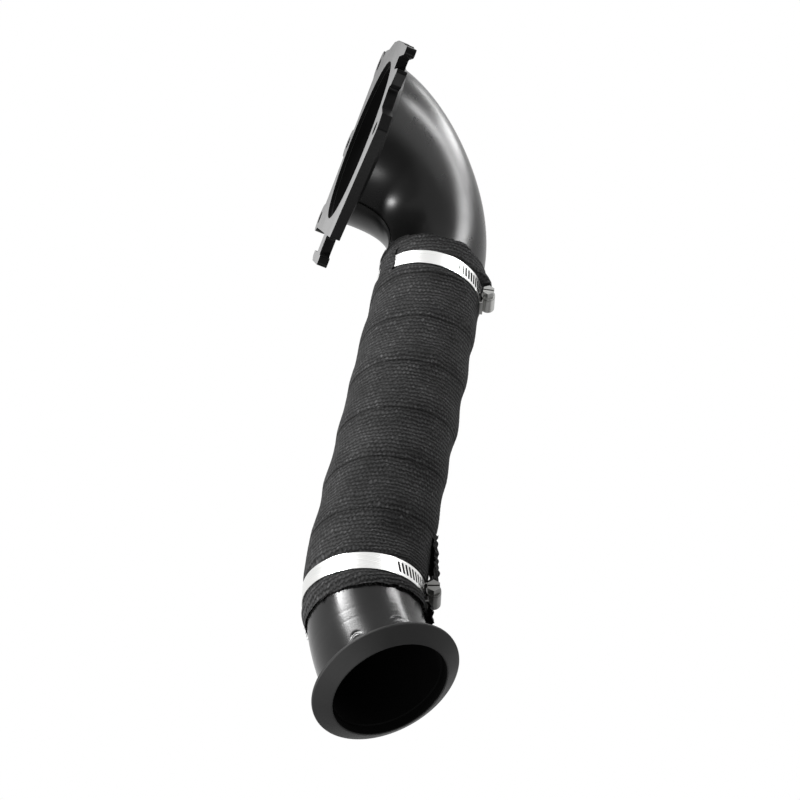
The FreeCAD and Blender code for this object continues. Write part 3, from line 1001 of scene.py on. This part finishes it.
# %% Clamp materials
def bright_steel(name, colour, rough_low, rough_high, clamp_place=None):
    """Stainless steel with fine rolling lines; on a band, the cut walls of the worm slots are darkened as
    painted shade.
    """
    material, tree, shader, place = new_material(name)
    lines = add_group(tree, brushed, Line_Scale=400.0)
    shader.inputs["Base Color"].default_value = colour
    shader.inputs["Metallic"].default_value = 1.0
    gloss = ramp(tree, lines.outputs["Line"], 0.3, 0.7, rough_low, rough_high)
    tree.links.new(gloss, shader.inputs["Roughness"])
    bump(tree, lines.outputs["Line"], shader, 0.08, 0.0001)
    if clamp_place is not None:
        # Painted shade: faces that look across the band, the cut walls of the slots, are darkened
        centre, heading, side = centre_line(clamp_place)
        facing = tree.nodes.new("ShaderNodeNewGeometry")
        offset = vector_math(tree, "SUBTRACT", facing.outputs["Position"], centre * MM)
        around = vector_math(tree, "NORMALIZE", vector_math(tree, "CROSS_PRODUCT", offset, heading))
        across = vector_math(tree, "DOT_PRODUCT", facing.outputs["True Normal"], around)
        slot_wall_shade = ramp(tree, math_node(tree, "ABSOLUTE", across), 0.5, 0.7, 0.0, 1.0)
        tree.links.new(mix_colour(tree, slot_wall_shade, colour, grey(0.01)), shader.inputs["Base Color"])
    return material


upper_steel = bright_steel("upper_band_steel", (0.74, 0.74, 0.73, 1), 0.26, 0.36, upper_clamp)
lower_steel = bright_steel("lower_band_steel", (0.74, 0.74, 0.73, 1), 0.22, 0.32, lower_clamp)
screw_steel = bright_steel("screw_steel", (0.42, 0.42, 0.41, 1), 0.25, 0.4)
# A darker copy of the screw steel for the lower clamp's cover and screw: painted shade
painted_shade_screw_steel = bright_steel("painted_shade_screw", (0.17, 0.17, 0.165, 1), 0.3, 0.45)
print("steel", upper_steel.name, lower_steel.name, screw_steel.name, painted_shade_screw_steel.name)


# %% [markdown]
# ## The solids that stay
# The plate, its welds and the clamps keep their CAD meshes. Each only gets its finish.


# %% Dress the CAD nodes that stay
def dress(node, material):
    """Give a CAD node its finish."""
    nodes[node].data.materials.clear()
    nodes[node].data.materials.append(material)
    print(node, "wears", material.name)


dress("turbine_flange", plate_coat)
for weld in ("flange_weld", "elbow_seam_weld", "tube_joint_weld"):
    dress(weld, weld_coat)
# The lower clamp's cover and screw wear the darker copy of the steel, as painted shade
for clamp, steel, screw in (("upper", upper_steel, screw_steel), ("lower", lower_steel, painted_shade_screw_steel)):
    dress(clamp + "_clamp_band", steel)
    dress(clamp + "_clamp_housing", screw)
    dress(clamp + "_clamp_screw", screw)

# %% [markdown]
# ## The floor
# A pale floor lies well below, outside the photograph's view, as the part hangs from its plate.

# %% Floor
floor_half = 4.0
floor_level = -1.7
corner_signs = ((-1, -1), (1, -1), (1, 1), (-1, 1))
floor_corners = [(x * floor_half, y * floor_half, floor_level) for x, y in corner_signs]
floor_mesh = bpy.data.meshes.new("studio_floor")
floor_mesh.from_pydata(floor_corners, [], [(0, 1, 2, 3)])
floor_material = new_material("pale_floor")[0]
floor_shader = floor_material.node_tree.nodes["Principled BSDF"]
floor_shader.inputs["Base Color"].default_value = (0.8, 0.8, 0.8, 1)
floor_shader.inputs["Roughness"].default_value = 0.9
floor_mesh.materials.append(floor_material)
floor = bpy.data.objects.new("studio_floor", floor_mesh)
bpy.context.scene.collection.objects.link(floor)
print("floor", floor_level, "m")
